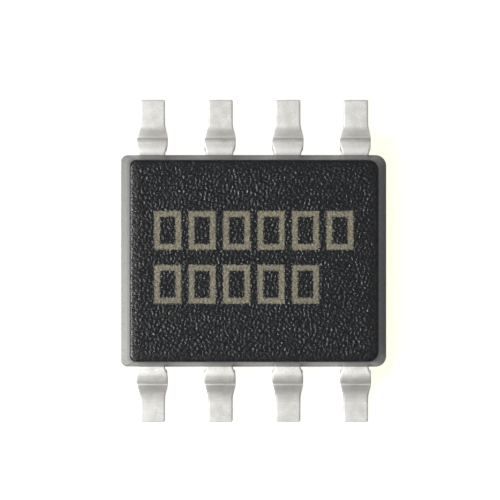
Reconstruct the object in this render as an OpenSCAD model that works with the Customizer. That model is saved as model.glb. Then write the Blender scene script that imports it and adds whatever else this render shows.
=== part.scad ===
// Eight-lead small-outline chip package: a moulded body drafted both ways from its parting band,
// eight gull-wing leads locked into it, and the paddle, die and bond wires sealed inside.
// Millimetres. +X runs along the body, +Y across the leads, +Z up. The origin is the centre of
// the seating plane that the soles of the leads stand on.

/* [Body] */
// Length of the body at its parting band
body_l = 4.96; // [4.8:0.02:5.2]
// Width of the body at its parting band
body_w = 3.96; // [3.8:0.02:4.1]
// Height of the moulding alone
body_h = 1.45; // [1.3:0.01:1.6]
// Gap between the seating plane and the underside of the body
standoff = 0.15; // [0.08:0.01:0.25]
// Draft of the two end walls, in degrees
end_draft = 13.5; // [7:0.5:16]
// Draft of the two walls that the leads leave, in degrees
side_draft = 8; // [5:0.5:12]
// Upright corner radius at the pin 1 and pin 8 end
corner_r_left = 0.12; // [0.08:0.01:0.25]
// Upright corner radius at the other end
corner_r_right = 0.2; // [0.08:0.01:0.25]
// Radius of the edges round the top and the underside
edge_r = 0.04; // [0.02:0.01:0.06]
// Diameter of the ejector pin's mark in the underside
ejector_d = 1.2; // [0.8:0.1:1.5]
// Depth of the ejector pin's mark
ejector_depth = 0.03; // [0.01:0.01:0.05]

/* [Leads] */
// Distance between neighbouring leads
lead_pitch = 1.27; // [1.22:0.01:1.3]
// Distance over the toes, from one row to the other
lead_span = 6.05; // [5.9:0.01:6.2]
// Thickness of the leadframe strip
lead_t = 0.2; // [0.15:0.01:0.23]
// Width of a lead where it leaves the body
neck_w = 0.495; // [0.4:0.005:0.52]
// Width over the cut dambar stubs
stub_w = 0.575; // [0.54:0.005:0.65]
// Distance over which a lead widens from the body wall to its dambar stubs
stub_taper = 0.15; // [0.08:0.01:0.2]
// Width of the foot
foot_w = 0.47; // [0.35:0.01:0.5]
// Flat stretch between the body wall and the upper bend
shoulder_l = 0.05; // [0.03:0.01:0.1]
// Inside radius of the upper bend
upper_bend_r = 0.07; // [0.05:0.01:0.12]
// Inside radius of the lower bend
lower_bend_r = 0.2; // [0.12:0.01:0.22]
// Angle of the leg against the board, in degrees
leg_angle = 84; // [75:1:88]
// Distance over which a lead narrows from its stubs to its foot
flare_l = 0.24; // [0.15:0.01:0.3]

/* [Inner leadframe] */
// Length of the die paddle
pad_l = 2.6; // [2.4:0.05:2.7]
// Width of the die paddle
pad_w = 2.1; // [1.9:0.05:2.3]
// How far the paddle is set down below the leads
pad_drop = 0.15; // [0.05:0.01:0.2]
// Width of each tie bar
tie_w = 0.32; // [0.2:0.02:0.4]
// Gap in plan between the paddle and the inner fingers
finger_gap = 0.2; // [0.15:0.01:0.25]
// Diameter of the anchor hole in each finger
anchor_d = 0.2; // [0.15:0.01:0.25]
// How far a corner finger stays away from the middle line
corner_tip_y = 0.6; // [0.4:0.05:0.7]

/* [Die and wires] */
// Length of the die
die_l = 1.7; // [1.4:0.05:2]
// Width of the die
die_w = 1.35; // [1.1:0.05:1.6]
// Thickness of the die
die_t = 0.28; // [0.2:0.01:0.3]
// Thickness of the die attach layer
attach_t = 0.025; // [0.02:0.005:0.04]
// How far the die attach layer shows round the die
attach_rim = 0.06; // [0.03:0.01:0.1]
// Diameter of a bond wire
wire_d = 0.025; // [0.02:0.005:0.035]
// Height of a wire loop above the die
loop_h = 0.16; // [0.12:0.01:0.2]
// Radius of the bend at the top of a loop
loop_r = 0.06; // [0.04:0.01:0.08]
// Diameter of the ball that bonds a wire to the die
ball_d = 0.075; // [0.06:0.005:0.09]
// Height of that ball
ball_h = 0.02; // [0.015:0.005:0.03]

/* [Hidden] */
LEADS = 8;
PER_SIDE = LEADS / 2;
$fn = 48;

// Levels, from the board up
lead_z = standoff + body_h / 2;
lead_top = lead_z + lead_t / 2;
lead_bottom = lead_z - lead_t / 2;
body_top = standoff + body_h;
pad_top = lead_top - pad_drop;
die_bottom = pad_top + attach_t;
die_top = die_bottom + die_t;

// Side view of a lead: both bends turn by the leg's angle, and the leg takes up what is left
outer_bend_r = upper_bend_r + lead_t;
bend_gap = lead_bottom - upper_bend_r - lead_t - lower_bend_r;
leg_l = (bend_gap + (outer_bend_r + lower_bend_r) * cos(leg_angle)) / sin(leg_angle);
stub_end = shoulder_l + outer_bend_r * sin(leg_angle) + leg_l * cos(leg_angle);
leg_out = stub_end + lower_bend_r * sin(leg_angle);
toe = (lead_span - body_w) / 2;
ARC_STEPS = 14;

// Plan view of a lead, measured outwards from the body wall
corner_x = (PER_SIDE - 1) / 2 * lead_pitch;
finger_tip_y = pad_w / 2 + finger_gap;
corner_hook = corner_x - pad_l / 2 - finger_gap;
anchor_y = (body_w / 2 + finger_tip_y) / 2;

// Bond pads on the die, and stitches on the fingers, in from their edges
bond_inset = 0.12;
stitch_inset = 0.14;
tip_l = 2 * stitch_inset;
slab_h = 0.001;
past = 1;

function column(i) = (i - 1) % PER_SIDE;
function lead_x(i) = corner_x - column(i) * lead_pitch;
function is_corner(i) = column(i) == 0 || column(i) == PER_SIDE - 1;
// An angle kept to a thousandth of a degree, so that a bend and the stretch after it meet face to face
function whole_angle(a) = round(a * 1000) / 1000;
// Which way along X the paddle lies from a lead of the +Y row
function inward(i) = lead_x(i) > 0 ? -1 : 1;

// Turns a piece of the +Y row, leads 5 to 8, into the same piece of the -Y row, leads 1 to 4
module row_of(i) {
    rotate([0, 0, i <= PER_SIDE ? 180 : 0]) children();
}

// One level of the moulding: four thin corner posts, inset from the parting band by the draft
module body_level(z, rise, inset, h) {
    half_l = body_l / 2 - rise * tan(end_draft) - inset;
    half_w = body_w / 2 - rise * tan(side_draft) - inset;
    for (sx = [-1, 1], sy = [-1, 1]) {
        r = sx < 0 ? corner_r_left : corner_r_right;
        translate([sx * (half_l - r), sy * (half_w - r), z]) cylinder(r = r, h = h);
    }
}

module moulding_blank() {
    rise = body_top - lead_top;
    hull() {
        body_level(lead_bottom, 0, 0, lead_t);
        for (a = [0 : 30 : 90]) {
            back = edge_r * (1 - cos(a));
            lift = edge_r * (1 - sin(a));
            body_level(body_top - lift - slab_h, rise, back, slab_h);
            body_level(standoff + lift, rise, back, slab_h);
        }
    }
}

module mould_body() {
    color([0.2, 0.2, 0.21]) difference() {
        moulding_blank();
        translate([0, 0, standoff - past]) cylinder(d = ejector_d, h = past + ejector_depth);
        for (i = [1 : LEADS]) {
            lead(i);
            bond_wire(i);
        }
        die_pad();
        die_attach();
        die();
    }
}

// Points along an arc about c = [out, up], with angles measured from straight up towards the toe
function arc(c, r, from, to) = [
    for (k = [0 : ARC_STEPS])
        let (a = from + (to - from) * k / ARC_STEPS)
        c + r * [sin(a), cos(a)]
];

// Side view of the strip: one thickness all along, round two bends, from inside the body to the toe
module strip_profile() {
    upper = [shoulder_l, lead_bottom - upper_bend_r];
    lower = [leg_out, lead_t + lower_bend_r];
    polygon(concat(
        [[-body_w / 2, lead_top]],
        arc(upper, outer_bend_r, 0, leg_angle),
        arc(lower, lower_bend_r, 180 + leg_angle, 180),
        [[toe, lead_t], [toe, 0]],
        arc(lower, lower_bend_r + lead_t, 180, 180 + leg_angle),
        arc(upper, upper_bend_r, leg_angle, 0),
        [[-body_w / 2, lead_bottom]]
    ));
}

// Inside the body a middle finger ends in a wide bond tip, and a corner one hooks round the paddle
function finger_points(i) = is_corner(i) ? [
    [-neck_w / 2, corner_tip_y - body_w / 2],
    [corner_hook, corner_tip_y - body_w / 2],
    [corner_hook, finger_tip_y - body_w / 2 - corner_hook + neck_w / 2],
    [neck_w / 2, finger_tip_y - body_w / 2]
] : [
    [-neck_w / 2, finger_tip_y - body_w / 2 + tip_l],
    [-stub_w / 2, finger_tip_y - body_w / 2 + tip_l],
    [-stub_w / 2, finger_tip_y - body_w / 2],
    [stub_w / 2, finger_tip_y - body_w / 2],
    [stub_w / 2, finger_tip_y - body_w / 2 + tip_l],
    [neck_w / 2, finger_tip_y - body_w / 2 + tip_l]
];

// Outside the body a lead widens to its dambar stubs, runs straight, and narrows to its foot
module lead_outline(i) {
    half = [
        [neck_w / 2, 0],
        [stub_w / 2, stub_taper],
        [stub_w / 2, stub_end],
        [foot_w / 2, stub_end + flare_l],
        [foot_w / 2, toe]
    ];
    polygon(concat(
        finger_points(i),
        half,
        [for (k = [len(half) - 1 : -1 : 0]) [-half[k][0], half[k][1]]]
    ));
}

module lead(i) {
    color([0.84, 0.83, 0.8]) row_of(i) translate([lead_x(i), body_w / 2, 0]) difference() {
        intersection() {
            rotate([90, 0, 90]) linear_extrude(height = 2 * corner_x, center = true) strip_profile();
            mirror([inward(i) < 0 ? 1 : 0, 0, 0])
                linear_extrude(height = lead_top + past) lead_outline(i);
        }
        translate([0, anchor_y - body_w / 2, lead_bottom - past])
            cylinder(d = anchor_d, h = lead_t + 2 * past);
    }
}

// Side view of the paddle and its tie bars, which drop from the lead plane at 45 degrees
module pad_profile() {
    drop_end = pad_l / 2 + finger_gap;
    half = [
        [body_l / 2, 0],
        [drop_end + pad_drop, 0],
        [drop_end, -pad_drop]
    ];
    top = concat(half, [for (i = [2 : -1 : 0]) [-half[i][0], half[i][1]]]);
    bottom = [for (i = [5 : -1 : 0]) [top[i][0], top[i][1] - lead_t]];
    polygon(concat(top, bottom));
}

module die_pad() {
    color([0.75, 0.55, 0.4]) intersection() {
        translate([0, pad_w, lead_top]) rotate([90, 0, 0]) linear_extrude(height = 2 * pad_w) pad_profile();
        translate([0, 0, lead_bottom - pad_drop - past]) linear_extrude(height = 2 * past + lead_t + pad_drop) {
            square([pad_l, pad_w], center = true);
            square([body_l, tie_w], center = true);
        }
    }
}

module die_attach() {
    l = die_l + 2 * attach_rim;
    w = die_w + 2 * attach_rim;
    color([0.7, 0.7, 0.72]) translate([-l / 2, -w / 2, pad_top]) cube([l, w, attach_t]);
}

module die() {
    color([0.35, 0.37, 0.42]) translate([-die_l / 2, -die_w / 2, die_bottom]) cube([die_l, die_w, die_t]);
}

// A ball on the die, a riser, a bend and a straight fall to the stitch on the finger
module bond_wire(i) {
    start = is_corner(i)
        ? [-inward(i) * (die_l / 2 - bond_inset), die_w / 2 - 2 * bond_inset]
        : [-inward(i) * die_l / 5, die_w / 2 - bond_inset];
    end = is_corner(i)
        ? [lead_x(i) + inward(i) * (corner_hook - stitch_inset), corner_tip_y + stitch_inset]
        : [lead_x(i), finger_tip_y + stitch_inset];
    reach = norm(end - start);
    heading = atan2(end[1] - start[1], end[0] - start[0]);
    bend_z = loop_h - loop_r;
    fall = die_top + bend_z - lead_top;
    tilt = whole_angle(asin(loop_r / norm([reach - loop_r, fall])) + atan2(fall, reach - loop_r));
    slope_l = sqrt(pow(reach - loop_r, 2) + pow(fall, 2) - pow(loop_r, 2));
    color([0.85, 0.65, 0.2]) row_of(i) difference() {
        translate([start[0], start[1], die_top]) rotate([0, 0, heading]) {
            cylinder(d = ball_d, h = ball_h);
            cylinder(d = wire_d, h = bend_z);
            translate([loop_r, 0, bend_z]) {
                rotate([90, 0, 0]) rotate_extrude(angle = 90 + tilt, start = 90 - tilt)
                    translate([loop_r, 0]) circle(d = wire_d);
                rotate([0, tilt, 0]) translate([0, 0, loop_r]) rotate([0, 90, 0])
                    cylinder(d = wire_d, h = slope_l + wire_d);
            }
        }
        lead(i > PER_SIDE ? i : i + PER_SIDE);
    }
}

mould_body();
for (i = [1 : LEADS]) {
    lead(i);
}
die_pad();
die_attach();
die();
for (i = [1 : LEADS]) {
    bond_wire(i);
}
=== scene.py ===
"""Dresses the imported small-outline chip: a black moulding with a spark-eroded skin, matte tin leads with
rolled edges, a sheared copper leadframe, and a white tabletop seen straight from above."""

import math

import bmesh
import bpy
import numpy as np
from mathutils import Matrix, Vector

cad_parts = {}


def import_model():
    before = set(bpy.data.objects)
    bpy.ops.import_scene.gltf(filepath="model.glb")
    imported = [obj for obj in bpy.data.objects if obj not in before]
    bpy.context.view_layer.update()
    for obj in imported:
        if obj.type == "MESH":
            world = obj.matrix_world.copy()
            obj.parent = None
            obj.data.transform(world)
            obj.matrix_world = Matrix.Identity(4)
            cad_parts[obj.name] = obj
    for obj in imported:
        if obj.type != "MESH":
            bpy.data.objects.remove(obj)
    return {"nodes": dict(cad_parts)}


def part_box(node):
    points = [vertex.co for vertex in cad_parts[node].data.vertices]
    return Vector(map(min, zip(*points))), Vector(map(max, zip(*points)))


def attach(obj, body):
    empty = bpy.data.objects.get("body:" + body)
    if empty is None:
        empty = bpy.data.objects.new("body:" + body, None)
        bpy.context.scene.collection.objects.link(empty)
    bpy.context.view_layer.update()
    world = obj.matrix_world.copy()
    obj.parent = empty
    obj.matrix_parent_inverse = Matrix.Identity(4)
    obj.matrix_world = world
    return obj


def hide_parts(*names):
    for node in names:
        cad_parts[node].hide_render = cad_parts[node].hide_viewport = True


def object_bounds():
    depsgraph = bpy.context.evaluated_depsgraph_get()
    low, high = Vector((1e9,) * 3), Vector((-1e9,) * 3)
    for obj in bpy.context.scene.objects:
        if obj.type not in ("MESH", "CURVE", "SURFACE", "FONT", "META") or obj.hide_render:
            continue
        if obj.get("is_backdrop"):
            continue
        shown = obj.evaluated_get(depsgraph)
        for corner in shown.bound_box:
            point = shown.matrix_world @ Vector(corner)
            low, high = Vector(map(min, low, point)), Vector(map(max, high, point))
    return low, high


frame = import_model()
cad_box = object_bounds()

MM = 0.001
RNG = np.random.default_rng(1270)

# ---------------------------------------------------------------- sizes, from the frame and in metres

BODY_LOW, BODY_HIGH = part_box("mould_body")
LEAD_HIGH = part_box("lead_5")[1]
PAD_EDGE = 1.05 * MM
HALF_L = BODY_HIGH[0]
HALF_W = BODY_HIGH[1]
LEAD_T = 0.2 * MM
LEAD_TOP = LEAD_HIGH[2]
LEAD_BOTTOM = LEAD_TOP - LEAD_T
PITCH = 1.27 * MM
TOE = LEAD_HIGH[1] - HALF_W
CORNER_X = 1.5 * PITCH

END_DRAFT = math.radians(13.5)
SIDE_DRAFT = math.radians(8)
CORNER_R_LEFT = 0.12 * MM
CORNER_R_RIGHT = 0.2 * MM
EDGE_R = 0.05 * MM
EJECTOR_R = 0.6 * MM
EJECTOR_DEPTH = 0.03 * MM
SKIN_DEPTH = 0.05 * MM  # what lies this near a face is face, and the rest is wall

NECK_W = 0.495 * MM
STUB_W = 0.575 * MM
FOOT_W = 0.47 * MM
SHOULDER = 0.05 * MM
UPPER_R = 0.07 * MM
LOWER_R = 0.2 * MM
LEG_ANGLE = math.radians(84)
FLARE = 0.24 * MM
FINGER_GAP = 0.2 * MM
ANCHOR_R = 0.1 * MM
CORNER_TIP_Y = 0.6 * MM
DIE_PAD_REACH = 1.3 * MM
FOOT_SHIFT = 0.025 * MM
TOE_R = 0.03 * MM
ROLL_R = 0.032 * MM
BURR_R = 0.02 * MM
STUB_WOBBLE = 0.008 * MM


def mesh_object(name, vertices, faces, material):
    """A smooth-shaded mesh piece that rides on the one body."""
    mesh = bpy.data.meshes.new(name)
    mesh.from_pydata([tuple(v) for v in vertices], [], faces)
    mesh.polygons.foreach_set("use_smooth", [True] * len(mesh.polygons))
    mesh.materials.append(material)
    mesh.update()
    piece = bpy.data.objects.new(name, mesh)
    bpy.context.scene.collection.objects.link(piece)
    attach(piece, "root")
    return piece


# ---------------------------------------------------------------- materials


class Nodes:
    """A material's or world's node tree, with short calls for the nodes that repeat."""

    def __init__(self, tree):
        self.tree = tree
        tree.nodes.clear()

    def add(self, kind, **settings):
        node = self.tree.nodes.new(kind)
        for key, value in settings.items():
            setattr(node, key, value)
        return node

    def link(self, source, target):
        self.tree.links.new(source, target)

    def put(self, value, socket):
        """Links a socket, or sets a plain value."""
        if isinstance(value, bpy.types.NodeSocket):
            self.link(value, socket)
        else:
            socket.default_value = value

    def math(self, operation, a, b=0.0, c=0.0, clamp=False):
        node = self.add("ShaderNodeMath", operation=operation, use_clamp=clamp)
        for value, socket in zip((a, b, c), node.inputs):
            self.put(value, socket)
        return node.outputs[0]

    def noise(self, vector, size, detail=2.0, roughness=0.5, distortion=0.0):
        """Noise whose features are about size metres across."""
        node = self.add("ShaderNodeTexNoise")
        self.link(vector, node.inputs["Vector"])
        node.inputs["Scale"].default_value = 1.0 / size
        node.inputs["Detail"].default_value = detail
        node.inputs["Roughness"].default_value = roughness
        node.inputs["Distortion"].default_value = distortion
        return node.outputs["Fac"]

    def remap(self, value, low, high, to_low=0.0, to_high=1.0, smooth=False):
        node = self.add("ShaderNodeMapRange", clamp=True)
        node.interpolation_type = "SMOOTHSTEP" if smooth else "LINEAR"
        for v, socket in zip((value, low, high, to_low, to_high), node.inputs):
            self.put(v, socket)
        return node.outputs[0]

    def mix(self, factor, a, b):
        node = self.add("ShaderNodeMix", data_type="RGBA")
        self.put(factor, node.inputs["Factor"])
        colours = [socket for socket in node.inputs if socket.type == "RGBA"]
        self.put(a, colours[0])
        self.put(b, colours[1])
        return [socket for socket in node.outputs if socket.type == "RGBA"][0]

    def bump(self, height, distance, strength=1.0, normal=None):
        node = self.add("ShaderNodeBump")
        node.inputs["Strength"].default_value = strength
        node.inputs["Distance"].default_value = distance
        self.link(height, node.inputs["Height"])
        if normal is not None:
            self.link(normal, node.inputs["Normal"])
        return node.outputs["Normal"]


def new_material(name, **uniform):
    """A material with a Principled shader whose uniform values are set on its own sockets."""
    material = bpy.data.materials.new(name)
    material.use_nodes = True
    nodes = Nodes(material.node_tree)
    out = nodes.add("ShaderNodeOutputMaterial")
    shader = nodes.add("ShaderNodeBsdfPrincipled")
    nodes.link(shader.outputs[0], out.inputs["Surface"])
    for key, value in uniform.items():
        shader.inputs[key.replace("_", " ").title() if key != "ior" else "IOR"].default_value = value
    place = nodes.add("ShaderNodeTexCoord").outputs["Object"]
    return material, nodes, shader, place


def rgb(r, g, b):
    return (r, g, b, 1.0)


# The marking: two rows of plain open boxes burnt into the top by a laser
MARK_PITCH = 0.643 * MM
MARK_W = 0.5 * MM
MARK_H = 0.72 * MM
MARK_STROKE = 0.105 * MM
MARK_LEFT = -1.865 * MM
MARK_ROWS = ((0.57 * MM, 6), (-0.435 * MM, 5))
MARK_RAGGED = 0.09 * MM
MARK_SOFT = 0.012 * MM


def marking_mask(nodes, place):
    """1 on the strokes of the open boxes and 0 elsewhere, with slightly ragged edges."""
    split = nodes.add("ShaderNodeSeparateXYZ")
    nodes.link(place, split.inputs[0])
    x, y, z = split.outputs
    ragged = nodes.math("SUBTRACT", nodes.noise(place, 0.03 * MM, 2.0), 0.5)
    ragged = nodes.math("MULTIPLY", ragged, MARK_RAGGED)
    middle = MARK_STROKE / 2
    first = MARK_LEFT + MARK_W / 2
    total = None
    for row_y, count in MARK_ROWS:
        cell = nodes.math("ROUND", nodes.math("DIVIDE", nodes.math("SUBTRACT", x, first), MARK_PITCH))
        cell = nodes.math("MINIMUM", nodes.math("MAXIMUM", cell, 0.0), count - 1.0)
        centre = nodes.math("MULTIPLY_ADD", cell, MARK_PITCH, first)
        across = nodes.math("ABSOLUTE", nodes.math("SUBTRACT", x, centre))
        along = nodes.math("ABSOLUTE", nodes.math("SUBTRACT", y, row_y))
        across = nodes.math("SUBTRACT", across, MARK_W / 2 - middle)
        along = nodes.math("SUBTRACT", along, MARK_H / 2 - middle)
        outline = nodes.math("ABSOLUTE", nodes.math("MAXIMUM", across, along))
        distance = nodes.math("ADD", outline, ragged)
        stroke = nodes.remap(distance, middle - MARK_SOFT, middle + MARK_SOFT, 1.0, 0.0, smooth=True)
        total = stroke if total is None else nodes.math("MAXIMUM", total, stroke)
    on_top = nodes.math("GREATER_THAN", z, BODY_HIGH[2] - SKIN_DEPTH)
    return nodes.math("MULTIPLY", total, on_top)


def mould_material():
    """Black epoxy: eroded on the faces, smoother and resin-rich on the drafted walls."""
    material, nodes, shader, place = new_material("mould_compound", ior=1.47)
    split = nodes.add("ShaderNodeSeparateXYZ")
    nodes.link(place, split.inputs[0])
    height = split.outputs[2]
    upper = nodes.math("SUBTRACT", height, BODY_HIGH[2] - SKIN_DEPTH)
    lower = nodes.math("SUBTRACT", BODY_LOW[2] + SKIN_DEPTH, height)
    face = nodes.remap(nodes.math("MAXIMUM", upper, lower), -0.005 * MM, 0.01 * MM)
    mark = marking_mask(nodes, place)
    grain = nodes.noise(place, 0.05 * MM, 3.0, 0.6)
    fine = nodes.noise(place, 0.018 * MM, 3.0, 0.6)
    cloud = nodes.noise(place, 1.1 * MM, 2.0)
    skin = nodes.mix(nodes.remap(grain, 0.35, 0.7), rgb(0.0015, 0.0019, 0.0029), rgb(0.007, 0.0078, 0.0095))
    wall = nodes.mix(nodes.remap(cloud, 0.3, 0.7), rgb(0.02, 0.0195, 0.0185), rgb(0.028, 0.027, 0.0255))
    # The laser burn's tan, mottled light and dark; its light specks are painted glints.
    burn_and_glints = nodes.mix(nodes.remap(fine, 0.36, 0.68), rgb(0.055, 0.046, 0.026), rgb(0.38, 0.345, 0.245))
    burn_and_glints = nodes.mix(nodes.remap(grain, 0.5, 0.7, 0.0, 0.7), burn_and_glints, rgb(0.06, 0.055, 0.045))
    colour = nodes.mix(mark, nodes.mix(face, wall, skin), burn_and_glints)
    nodes.link(colour, shader.inputs["Base Color"])
    rough = nodes.remap(grain, 0.3, 0.7, 0.2, 0.32)
    rough = nodes.math("MULTIPLY_ADD", nodes.math("SUBTRACT", 1.0, face), 0.06, rough)
    nodes.link(nodes.math("MULTIPLY_ADD", mark, 0.2, rough), shader.inputs["Roughness"])
    pits = nodes.math("MULTIPLY", grain, nodes.math("MULTIPLY_ADD", face, 0.8, 0.2))
    nodes.link(nodes.bump(pits, 0.012 * MM, 0.7, nodes.bump(fine, 0.003 * MM, 0.6)), shader.inputs["Normal"])
    return material


# Where the tin's painted light and shade change along a lead, as distances out from the body wall
BODY_LIGHT_END = 0.22 * MM
BEND_SHADE_START = {"back": 0.22 * MM, "front": 0.14 * MM}
BEND_SHADE_FULL = 0.3 * MM
BEND_SHADE_END = (0.318 * MM, 0.33 * MM)
CREASE = (0.34 * MM, 0.345 * MM, 0.35 * MM, 0.41 * MM)
HEEL = (0.52 * MM, 0.7 * MM)
FOOT_START = (0.42 * MM, 0.6 * MM)


def tin_material():
    """Matte tin, with painted light near the body on the back row, painted shade over the bends and a painted
    highlight along each lead's left edge.
    """
    material, nodes, shader, place = new_material("tin_plate", metallic=1.0)
    split = nodes.add("ShaderNodeSeparateXYZ")
    nodes.link(place, split.inputs[0])
    x, y, _ = split.outputs
    grain = nodes.noise(place, 0.028 * MM, 3.0, 0.65)
    patch = nodes.noise(place, 0.16 * MM, 2.0)
    tin = nodes.mix(nodes.remap(grain, 0.3, 0.7), rgb(0.72, 0.71, 0.675), rgb(0.96, 0.955, 0.925))
    tin = nodes.mix(nodes.remap(patch, 0.35, 0.7, 0.0, 0.6), tin, rgb(0.73, 0.715, 0.67))
    front = nodes.math("LESS_THAN", y, 0.0)
    wander = nodes.math("MULTIPLY", nodes.math("SUBTRACT", patch, 0.5), 0.03 * MM)
    out = nodes.math("ADD", nodes.math("SUBTRACT", nodes.math("ABSOLUTE", y), HALF_W), wander)

    # Painted light: the back row's tin is lightened near the body wall, where the body shades it.
    painted_body_light = nodes.remap(out, BODY_LIGHT_END, 0.02 * MM, 0.0, 0.7)
    painted_body_light = nodes.math("MULTIPLY", painted_body_light, nodes.math("SUBTRACT", 1.0, front))
    tin = nodes.mix(painted_body_light, tin, rgb(0.98, 0.975, 0.955))
    # Painted highlight: each lead is lightened towards its left edge, the side the key light falls on.
    column = nodes.math("ROUND", nodes.math("DIVIDE", nodes.math("SUBTRACT", x, PITCH / 2), PITCH))
    middle = nodes.math("MULTIPLY_ADD", column, PITCH, PITCH / 2)
    across = nodes.math("ADD", nodes.math("SUBTRACT", x, middle), wander)
    tin = nodes.mix(nodes.remap(across, -0.23 * MM, 0.02 * MM, 0.6, 0.0), tin, rgb(1.0, 0.995, 0.98))

    # Painted shade over the bends: darkest over the upper bend; on the front row it is deeper there and also
    # covers the crease and heel. The feet are made a little darker as well.
    start = nodes.math("MULTIPLY_ADD", front, BEND_SHADE_START["front"] - BEND_SHADE_START["back"], BEND_SHADE_START["back"])
    depth = nodes.math("MULTIPLY_ADD", front, 0.13, 0.62)
    upper = nodes.remap(out, start, BEND_SHADE_FULL, 0.0, depth)
    upper = nodes.math("MULTIPLY", upper, nodes.remap(out, BEND_SHADE_END[0], BEND_SHADE_END[1], 1.0, 0.2))
    crease_shade = nodes.remap(out, CREASE[2], CREASE[3], 0.4, 0.0)
    crease_shade = nodes.math("MULTIPLY", nodes.remap(out, CREASE[0], CREASE[1]), crease_shade)
    heel_shade = nodes.math("MAXIMUM", crease_shade, nodes.remap(out, HEEL[0], HEEL[1], 0.36, 0.0))
    heel_shade = nodes.math("MULTIPLY", front, heel_shade)
    heel_shade = nodes.math("MULTIPLY", heel_shade, nodes.math("GREATER_THAN", out, CREASE[0]))
    foot = nodes.remap(out, FOOT_START[0], FOOT_START[1], 0.0, 0.05)
    painted_bend_shade = nodes.math("ADD", nodes.math("ADD", upper, heel_shade), foot)
    tin = nodes.mix(painted_bend_shade, tin, rgb(0.24, 0.232, 0.225))
    nodes.link(tin, shader.inputs["Base Color"])
    nodes.link(nodes.remap(patch, 0.3, 0.7, 0.62, 0.74), shader.inputs["Roughness"])
    nodes.link(nodes.bump(grain, 0.004 * MM, 0.5), shader.inputs["Normal"])
    return material


def copper_material():
    """Stamped leadframe alloy: drawn lines along its cut ends."""
    material, nodes, shader, place = new_material("leadframe_copper", metallic=1.0)
    stretch = nodes.add("ShaderNodeMapping")
    nodes.link(place, stretch.inputs["Vector"])
    stretch.inputs["Scale"].default_value = (1.0, 1.0, 0.15)
    lines = nodes.noise(stretch.outputs[0], 0.03 * MM, 3.0)
    nodes.link(nodes.mix(lines, rgb(0.5, 0.27, 0.16), rgb(0.83, 0.5, 0.34)), shader.inputs["Base Color"])
    nodes.link(nodes.remap(lines, 0.3, 0.7, 0.3, 0.5), shader.inputs["Roughness"])
    nodes.link(nodes.bump(lines, 0.004 * MM, 0.5), shader.inputs["Normal"])
    return material


def speckled_material(name, dark, light, size, rough, metallic=0.0):
    """The sealed pieces: a base colour speckled at its own grain."""
    material, nodes, shader, place = new_material(name, metallic=metallic, roughness=rough)
    speck = nodes.noise(place, size, 3.0, 0.6)
    nodes.link(nodes.mix(speck, dark, light), shader.inputs["Base Color"])
    nodes.link(nodes.bump(speck, size / 8, 0.4), shader.inputs["Normal"])
    return material


MOULD = mould_material()
TIN = tin_material()
COPPER = copper_material()
EPOXY = speckled_material("silver_epoxy", rgb(0.42, 0.42, 0.43), rgb(0.66, 0.66, 0.67), 0.02 * MM, 0.55)
SILICON = speckled_material("silicon", rgb(0.06, 0.07, 0.1), rgb(0.11, 0.12, 0.16), 0.09 * MM, 0.2)
GOLD = speckled_material("gold_wire", rgb(0.8, 0.56, 0.16), rgb(0.92, 0.7, 0.28), 0.03 * MM, 0.25, 1.0)

# ---------------------------------------------------------------- the moulding

GRID = 0.0215 * MM
GRAIN = 0.07 * MM
RELIEF = 0.006 * MM
ROLL_OFF = {"left": 0.0085 * MM, "right": 0.002 * MM, "front": 0.007 * MM, "back": 0.002 * MM}
ROLL_OFF_W = 0.17 * MM
PEAK = 2.0
FACE_TOP = BODY_HIGH[2] - PEAK * RELIEF
FACE_LOW = BODY_LOW[2] + PEAK * RELIEF
LEAN = (-math.sin(math.radians(24)), math.cos(math.radians(24)))
STRETCH = 1.2
RIM = {"left": 0.22 * MM, "right": 0.2 * MM, "front": 0.17 * MM, "back": 0.17 * MM}


def band_noise(shape, spacing, wavelength, width=0.6):
    """Seeded noise on a grid with features near one wavelength, of mean 0 and deviation 1."""
    spectrum = np.fft.rfft2(RNG.standard_normal(shape))
    fx = np.fft.fftfreq(shape[0], spacing)[:, None]
    fy = np.fft.rfftfreq(shape[1], spacing)[None, :]
    along, across = fx * LEAN[0] + fy * LEAN[1], fy * LEAN[0] - fx * LEAN[1]
    pitch = np.log(np.hypot(STRETCH * along, across / STRETCH) * wavelength + 1e-9)
    field = np.fft.irfft2(spectrum * np.exp(-((pitch / width) ** 2)), shape)
    return (field - field.mean()) / field.std()


def rounded(x, y, half_l, half_w):
    """Moves points of a rectangle into the same rectangle with round corners."""
    r = np.where(x < 0, CORNER_R_LEFT, CORNER_R_RIGHT)
    u = np.clip((np.abs(x) - (half_l - r)) / r, 0, 1)
    v = np.clip((np.abs(y) - (half_w - r)) / r, 0, 1)
    px = np.minimum(np.abs(x), half_l - r) + r * u * np.sqrt(1 - v * v / 2)
    py = np.minimum(np.abs(y), half_w - r) + r * v * np.sqrt(1 - u * u / 2)
    return np.sign(x) * px, np.sign(y) * py


def ramp(distance, width):
    """A smooth step from 0 to 1 over a width."""
    t = np.clip(distance / width, 0, 1)
    return t * t * (3 - 2 * t)


def insets(x, y, half_l, half_w):
    """Distances in from the four sides of a face."""
    return {"left": x + half_l, "right": half_l - x, "front": y + half_w, "back": half_w - y}


def fallen(x, y, half_l, half_w):
    """How far the rim of the face rolls down."""
    near = insets(x, y, half_l, half_w)
    return sum(ROLL_OFF[side] * (1 - np.clip(near[side] / ROLL_OFF_W, 0, 1)) ** 2 for side in near)


def relief(x, y, half_l, half_w):
    """Height of the spark-eroded skin, fading out towards the rim of the face."""
    bumps = band_noise(x.shape, GRID, GRAIN)
    height = RELIEF * PEAK * np.tanh(bumps / PEAK)
    for side, inset in insets(x, y, half_l, half_w).items():
        height = height * (0.05 + 0.95 * ramp(inset, RIM[side]))
    return height - fallen(x, y, half_l, half_w)


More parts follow.
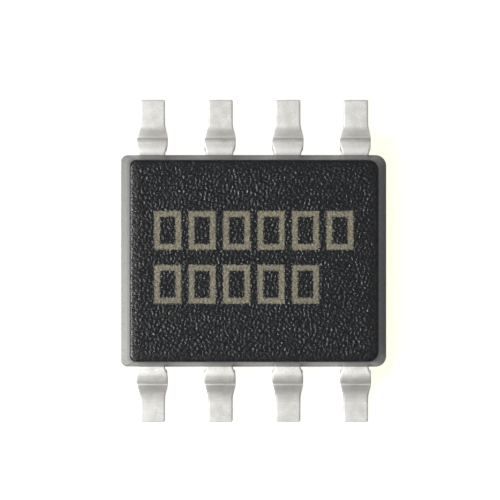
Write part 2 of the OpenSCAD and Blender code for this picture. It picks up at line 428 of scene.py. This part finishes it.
def wall_levels():
    """Heights of the wall's rings from the top down, each with its inset along X and along Y."""
    rise = FACE_TOP - LEAD_TOP
    slope_x, slope_y = math.tan(END_DRAFT), math.tan(SIDE_DRAFT)
    half = []
    for a in np.radians([67.5, 45, 22.5, 0]):
        back = EDGE_R * (1 - math.cos(a))
        half.append((rise - EDGE_R * (1 - math.sin(a)), rise * slope_x + back, rise * slope_y + back))
    for k in range(1, 9):
        h = (rise - EDGE_R) * (1 - k / 8)
        half.append((h, h * slope_x, h * slope_y))
    upper = [(LEAD_TOP + h, ix, iy) for h, ix, iy in half]
    lower = [(LEAD_BOTTOM - h, ix, iy) for h, ix, iy in reversed(half)]
    return upper + [((LEAD_TOP + LEAD_BOTTOM) / 2, 0.0, 0.0)] + lower


def moulding():
    """The black moulding as one closed mesh: both eroded faces and the drafted walls between them."""
    rise = FACE_TOP - LEAD_TOP
    half_l = HALF_L - rise * math.tan(END_DRAFT) - EDGE_R
    half_w = HALF_W - rise * math.tan(SIDE_DRAFT) - EDGE_R
    nx, ny = round(2 * half_l / GRID), round(2 * half_w / GRID)
    s, t = np.meshgrid(np.linspace(-1, 1, nx + 1), np.linspace(-1, 1, ny + 1), indexing="ij")
    x, y = rounded(s * half_l, t * half_w, half_l, half_w)
    top = np.stack([x, y, FACE_TOP + relief(x, y, half_l, half_w)], -1).reshape(-1, 3)
    mark = EJECTOR_DEPTH * ramp(EJECTOR_R - np.hypot(x, y), 0.05 * MM)
    low = np.stack([x, y, FACE_LOW + mark - relief(x, y, half_l, half_w)], -1).reshape(-1, 3)

    edge = [(i, 0) for i in range(nx)] + [(nx, j) for j in range(ny)]
    edge += [(i, ny) for i in range(nx, 0, -1)] + [(0, j) for j in range(ny, 0, -1)]
    edge = np.array(edge)
    es, et = s[edge[:, 0], edge[:, 1]], t[edge[:, 0], edge[:, 1]]
    edge_fall = fallen(es * half_l, et * half_w, half_l, half_w)
    rings = []
    for z, inset_x, inset_y in wall_levels():
        hl, hw = HALF_L - inset_x, HALF_W - inset_y
        rx, ry = rounded(es * hl, et * hw, hl, hw)
        share = np.clip((z - LEAD_TOP) / rise, 0, 1) - np.clip((LEAD_BOTTOM - z) / rise, 0, 1)
        rings.append(np.stack([rx, ry, z - share * edge_fall], -1))

    grid = np.arange((nx + 1) * (ny + 1)).reshape(nx + 1, ny + 1)
    first_ring = grid.size
    low_grid = grid + first_ring + len(rings) * len(edge)
    loops = [grid[edge[:, 0], edge[:, 1]]]
    loops += [first_ring + k * len(edge) + np.arange(len(edge)) for k in range(len(rings))]
    loops += [low_grid[edge[:, 0], edge[:, 1]]]
    quads = [np.stack([grid[:-1, :-1], grid[1:, :-1], grid[1:, 1:], grid[:-1, 1:]], -1).reshape(-1, 4)]
    quads += [np.stack([a, b, np.roll(b, -1), np.roll(a, -1)], -1) for a, b in zip(loops, loops[1:])]
    lower = np.stack([low_grid[:-1, :-1], low_grid[:-1, 1:], low_grid[1:, 1:], low_grid[1:, :-1]], -1)
    quads.append(lower.reshape(-1, 4))
    vertices = np.concatenate([top, *rings, low])
    piece = mesh_object("moulding", vertices, np.concatenate(quads).tolist(), MOULD)
    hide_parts("mould_body")
    return piece


# ---------------------------------------------------------------- the leads


def section(left, right, half_t, top_r, low_r):
    """A strip's cross-section from edge to edge, with its rolled upper edges and sharper lower ones."""
    points = []
    steps = np.radians(np.linspace(0, 90, 6))
    near = 0.3 * top_r
    for k in range(7):
        points.append((left + top_r + near + (right - left - 2 * (top_r + near)) * k / 6, half_t))
    points.append((right - top_r, half_t))
    points += [(right - top_r * (1 - math.sin(a)), half_t - top_r * (1 - math.cos(a))) for a in steps[1:]]
    points += [(right - low_r * (1 - math.cos(a)), -half_t + low_r * (1 - math.sin(a))) for a in steps]
    points.append(((left + right) / 2, -half_t))
    points += [(left + low_r * (1 - math.cos(a)), -half_t + low_r * (1 - math.sin(a))) for a in steps[::-1]]
    points += [(left + top_r * (1 - math.sin(a)), half_t - top_r * (1 - math.cos(a))) for a in steps[:0:-1]]
    points.append((left + top_r, half_t))
    return points


def sweep(stations, place):
    """A closed strip through stations of (out, up, lean, left, right, half thickness, top_r, low_r)."""
    vertices, faces = [], []
    for out, up, lean, left, right, half_t, top_r, low_r in stations:
        for across, over in section(left, right, half_t, top_r, low_r):
            vertices.append(place(across, out + over * math.sin(lean), up + over * math.cos(lean)))
    n = len(vertices) // len(stations)
    for k in range(len(stations) - 1):
        for m in range(n):
            a, b = k * n + m, k * n + (m + 1) % n
            faces.append((a, b, b + n, a + n))
    faces.append(tuple(range(n)))
    faces.append(tuple(range((len(stations) - 1) * n, len(stations) * n)))
    return vertices, faces


def tidy_normals(piece):
    """Turns every face of a closed piece outwards."""
    b = bmesh.new()
    b.from_mesh(piece.data)
    bmesh.ops.recalc_face_normals(b, faces=b.faces)
    b.to_mesh(piece.data)
    b.free()


def drill(piece, x, y, radius):
    """Cuts the round anchor hole that the moulding compound fills."""
    place = (x, y, LEAD_TOP)
    bpy.ops.mesh.primitive_cylinder_add(vertices=40, radius=radius, depth=4 * LEAD_T, location=place)
    cutter = bpy.context.object
    hole = piece.modifiers.new("anchor", "BOOLEAN")
    hole.operation = "DIFFERENCE"
    hole.object = cutter
    drilled = bpy.data.meshes.new_from_object(piece.evaluated_get(bpy.context.evaluated_depsgraph_get()))
    piece.modifiers.clear()
    old = piece.data
    piece.data = drilled
    bpy.data.meshes.remove(old)
    bpy.data.objects.remove(cutter)


def lead_path():
    """Centre line outside the body as (out, up, lean), from the body wall to the toe."""
    gap = LEAD_BOTTOM - UPPER_R - LEAD_T - LOWER_R
    turn = UPPER_R + LEAD_T + LOWER_R
    leg = (gap + turn * math.cos(LEG_ANGLE)) / math.sin(LEG_ANGLE)
    stub_end = SHOULDER + (UPPER_R + LEAD_T) * math.sin(LEG_ANGLE) + leg * math.cos(LEG_ANGLE)
    leg_out = stub_end + LOWER_R * math.sin(LEG_ANGLE)
    upper_r, lower_r = UPPER_R + LEAD_T / 2, LOWER_R + LEAD_T / 2
    path = []
    for a in np.linspace(0, LEG_ANGLE, 17):
        path.append((SHOULDER + upper_r * math.sin(a), LEAD_BOTTOM - UPPER_R + upper_r * math.cos(a), a))
    for a in np.linspace(LEG_ANGLE, 0, 19):
        path.append((leg_out - lower_r * math.sin(a), LEAD_T + LOWER_R - lower_r * math.cos(a), a))
    return path, stub_end, leg_out


def lead(number):
    """One lead, from its finger inside the body to its toe."""
    path, stub_end, leg_out = lead_path()
    column = (number - 1) % 4
    side = 1 if number > 4 else -1
    lead_x = side * (CORNER_X - column * PITCH)
    corner = column in (0, 3)
    hook_side = 0 if not corner else (-1 if side * lead_x > 0 else 1)
    finger_tip = PAD_EDGE + FINGER_GAP - HALF_W
    hook = CORNER_X - DIE_PAD_REACH - FINGER_GAP
    wobble = RNG.uniform(-1, 1, 4) * STUB_WOBBLE
    taper = (-0.01 * MM, 0.2 * MM) if side > 0 else (0.02 * MM, 0.12 * MM)

    def half_width(out, hand):
        """Distance of one edge from the centre line at a distance out from the body wall."""
        own = wobble[0 if hand < 0 else 1]
        if out < finger_tip + NECK_W and corner and hand == hook_side:
            return NECK_W / 2 + (hook - NECK_W / 2) * min(1, max(0, (finger_tip - out) / (hook - NECK_W / 2)))
        if out < 0:
            tip = ramp(finger_tip + 0.29 * MM - out, 0.02 * MM) if not corner else 0
            return NECK_W / 2 + (STUB_W - NECK_W) / 2 * tip
        grow = min(1.0, max(0.0, (out - taper[0]) / (taper[1] - taper[0])))
        shrink = ramp(out - stub_end + 0.02 * MM, FLARE + 0.02 * MM)
        stub = STUB_W / 2 + own
        return NECK_W / 2 + (stub - NECK_W / 2) * grow + (FOOT_W / 2 - stub) * shrink

    start = CORNER_TIP_Y - HALF_W if corner else finger_tip
    near_wall = -0.02 * MM
    outs = list(np.arange(start, near_wall, 0.03 * MM)) + list(np.linspace(near_wall, SHOULDER, 4))[:-1]
    centre = [(o, LEAD_BOTTOM + LEAD_T / 2, 0.0) for o in outs] + path
    centre += [(o, LEAD_T / 2, 0.0) for o in np.linspace(leg_out, TOE - TOE_R, 16)[1:]]
    stations = []
    for out, up, lean in centre:
        plan = out + LEAD_T / 2 * math.sin(lean)
        left, right = -half_width(plan, -1), half_width(plan, 1)
        stations.append((out, up, lean, left, right, LEAD_T / 2, ROLL_R, BURR_R))
    for a in np.radians([18, 36, 54, 72, 90]):
        back = TOE_R * (1 - math.cos(a))
        out = TOE - TOE_R * (1 - math.sin(a))
        shrink = 1 - back / (FOOT_W / 2)
        half_w, half_t = FOOT_W / 2 * shrink, LEAD_T / 2 - back * 0.6
        stations.append((out, LEAD_T / 2, 0.0, -half_w, half_w, half_t, ROLL_R, BURR_R))

    def place(across, out, up):
        down = min(1.0, max(0.0, (LEAD_BOTTOM - up) / (LEAD_BOTTOM - LEAD_T)))
        return (lead_x + side * across + FOOT_SHIFT * down, side * (HALF_W + out), up)

    vertices, faces = sweep(stations, place)
    piece = mesh_object(f"lead_{number}_formed", vertices, faces, TIN)
    tidy_normals(piece)
    drill(piece, lead_x, side * (HALF_W + finger_tip / 2), ANCHOR_R)
    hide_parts(f"lead_{number}")
    return piece


def dress(node, material):
    """Gives a carried-over solid its material."""
    piece = frame["nodes"][node]
    piece.data.materials.clear()
    piece.data.materials.append(material)


# ---------------------------------------------------------------- studio


# The tabletop's glow: what the camera sees, and, as painted light and shade, what the moulding's walls mirror
# of it
GLOW_SEEN = 0.9
GLOW_LEFT, GLOW_MIDDLE, GLOW_RIGHT = 1.45, 0.33, 0.0
GLOW_EDGE = 0.4 * MM
KEY_PLACE = (-45 * MM, -11 * MM, 72 * MM)
KEY_AIM = (0, 0, 0.8 * MM)
KEY_SIZE = 28 * MM
KEY_LEVEL = 0.82
VIEW_W = 9.35 * MM
VIEW_TILT = math.radians(1)
VIEW_AIM = (-0.068 * MM, 0.204 * MM, LEAD_TOP)


def floor():
    """A white tabletop that keeps the object's shadow, with a faint cream painted shadow tint to the right of
    the body, and a glow of painted light and shade that only reflections see.
    """
    size = 300 * MM
    mesh = bpy.data.meshes.new("tabletop")
    corners = [(-size, -size, 0), (size, -size, 0), (size, size, 0), (-size, size, 0)]
    mesh.from_pydata(corners, [], [(0, 1, 2, 3)])
    material = bpy.data.materials.new("tabletop")
    material.use_nodes = True
    nodes = Nodes(material.node_tree)
    out = nodes.add("ShaderNodeOutputMaterial")
    matt = nodes.add("ShaderNodeBsdfDiffuse")
    matt.inputs["Color"].default_value = rgb(0.7, 0.7, 0.7)
    glow = nodes.add("ShaderNodeEmission")
    light = nodes.add("ShaderNodeLightPath")
    mirrored = nodes.math("MAXIMUM", light.outputs["Is Glossy Ray"], light.outputs["Is Transmission Ray"])
    split = nodes.add("ShaderNodeSeparateXYZ")
    nodes.link(nodes.add("ShaderNodeTexCoord").outputs["Object"], split.inputs[0])
    x, y, _ = split.outputs
    # Painted light and shade for mirrored rays: the glow is strong to the left of the body and fades to none
    # to its right, where its shadow falls. It is also stronger towards the front.
    left = nodes.remap(x, -HALF_L, -HALF_L - GLOW_EDGE, GLOW_MIDDLE, GLOW_LEFT, smooth=True)
    right = nodes.remap(x, HALF_L, HALF_L + GLOW_EDGE, 0.0, GLOW_MIDDLE - GLOW_RIGHT, smooth=True)
    table = nodes.math("SUBTRACT", left, right)
    table = nodes.math("MULTIPLY", table, nodes.remap(y, -HALF_W, HALF_W, 1.32, 0.72))
    # Painted shadow: the glow turns cream in a band beside the body's right end, where its shadow falls.
    beside = nodes.math("ABSOLUTE", nodes.math("SUBTRACT", x, HALF_L))
    painted_shadow_tint = nodes.remap(beside, 0.05 * MM, 0.55 * MM, 1.0, 0.0, smooth=True)
    nodes.link(nodes.mix(painted_shadow_tint, rgb(1.0, 0.988, 0.94), rgb(1.0, 0.97, 0.76)), glow.inputs["Color"])
    seen = nodes.math("MULTIPLY", light.outputs["Is Camera Ray"], GLOW_SEEN)
    nodes.link(nodes.math("MULTIPLY_ADD", mirrored, table, seen), glow.inputs["Strength"])
    both = nodes.add("ShaderNodeAddShader")
    nodes.link(matt.outputs[0], both.inputs[0])
    nodes.link(glow.outputs[0], both.inputs[1])
    nodes.link(both.outputs[0], out.inputs["Surface"])
    mesh.materials.append(material)
    plane = bpy.data.objects.new("tabletop", mesh)
    bpy.context.scene.collection.objects.link(plane)
    plane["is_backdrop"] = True


def world():
    """White to the camera; for everything else brightest at the horizon, above all at the left."""
    made = bpy.data.worlds.new("studio")
    bpy.context.scene.world = made
    made.use_nodes = True
    nodes = Nodes(made.node_tree)
    out = nodes.add("ShaderNodeOutputWorld")
    back = nodes.add("ShaderNodeBackground")
    nodes.link(back.outputs[0], out.inputs["Surface"])
    way = nodes.add("ShaderNodeTexCoord").outputs["Generated"]
    split = nodes.add("ShaderNodeSeparateXYZ")
    nodes.link(way, split.inputs[0])
    x, _, z = split.outputs
    up = nodes.math("MAXIMUM", z, 0.0)
    overhead = nodes.math("MULTIPLY", nodes.math("POWER", up, 5.0), 0.28)
    low = nodes.math("SUBTRACT", 1.0, nodes.math("POWER", up, 2.0))
    horizon = nodes.math("MULTIPLY", nodes.math("POWER", low, 2.0), 0.55)
    studio = nodes.math("ADD", nodes.math("ADD", overhead, horizon), 0.13)
    studio = nodes.math("MULTIPLY", studio, 1.2)
    side = nodes.remap(x, -0.45, -1.0, 0.0, 0.9, smooth=True)
    studio = nodes.math("ADD", studio, side)
    camera = nodes.add("ShaderNodeLightPath").outputs["Is Camera Ray"]
    strength = nodes.add("ShaderNodeMix", data_type="FLOAT")
    nodes.link(camera, strength.inputs[0])
    nodes.link(studio, strength.inputs[2])
    strength.inputs[3].default_value = 1.0
    nodes.link(strength.outputs[0], back.inputs["Strength"])


def soft_light(name, place, aim, size, level):
    """An area light that gives a level of 1 on a white card facing it."""
    data = bpy.data.lights.new(name, "AREA")
    data.shape = "DISK"
    data.size = size
    reach = (Vector(place) - Vector(aim)).length
    data.energy = level * (math.pi * reach) ** 2
    lamp = bpy.data.objects.new(name, data)
    lamp.location = place
    lamp.rotation_mode = "QUATERNION"
    lamp.rotation_quaternion = (Vector(aim) - Vector(place)).to_track_quat("-Z", "Y")
    bpy.context.scene.collection.objects.link(lamp)


def camera():
    """Nearly straight down, from so far away that the view is almost parallel."""
    data = bpy.data.cameras.new("camera")
    data.lens = 1000
    data.sensor_width = 36
    distance = VIEW_W / data.sensor_width * data.lens
    data.clip_start, data.clip_end = 1 * MM, 2000 * MM
    cam = bpy.data.objects.new("camera", data)
    cam.location = Vector(VIEW_AIM) + distance * Vector((-math.sin(VIEW_TILT), 0, math.cos(VIEW_TILT)))
    cam.rotation_euler = (0, -VIEW_TILT, 0)
    bpy.context.scene.collection.objects.link(cam)
    bpy.context.scene.camera = cam


moulding()
for lead_number in range(1, 9):
    lead(lead_number)
dress("die_pad", COPPER)
dress("die_attach", EPOXY)
dress("die", SILICON)
for wire_number in range(1, 9):
    dress(f"bond_wire_{wire_number}", GOLD)
floor()
world()
soft_light("key", KEY_PLACE, KEY_AIM, KEY_SIZE, KEY_LEVEL)
camera()
bpy.context.scene.view_settings.view_transform = "Standard"

boxes = {"cad": cad_box, "visual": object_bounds()}
{k: [list(corner) for corner in v] for k, v in boxes.items()}
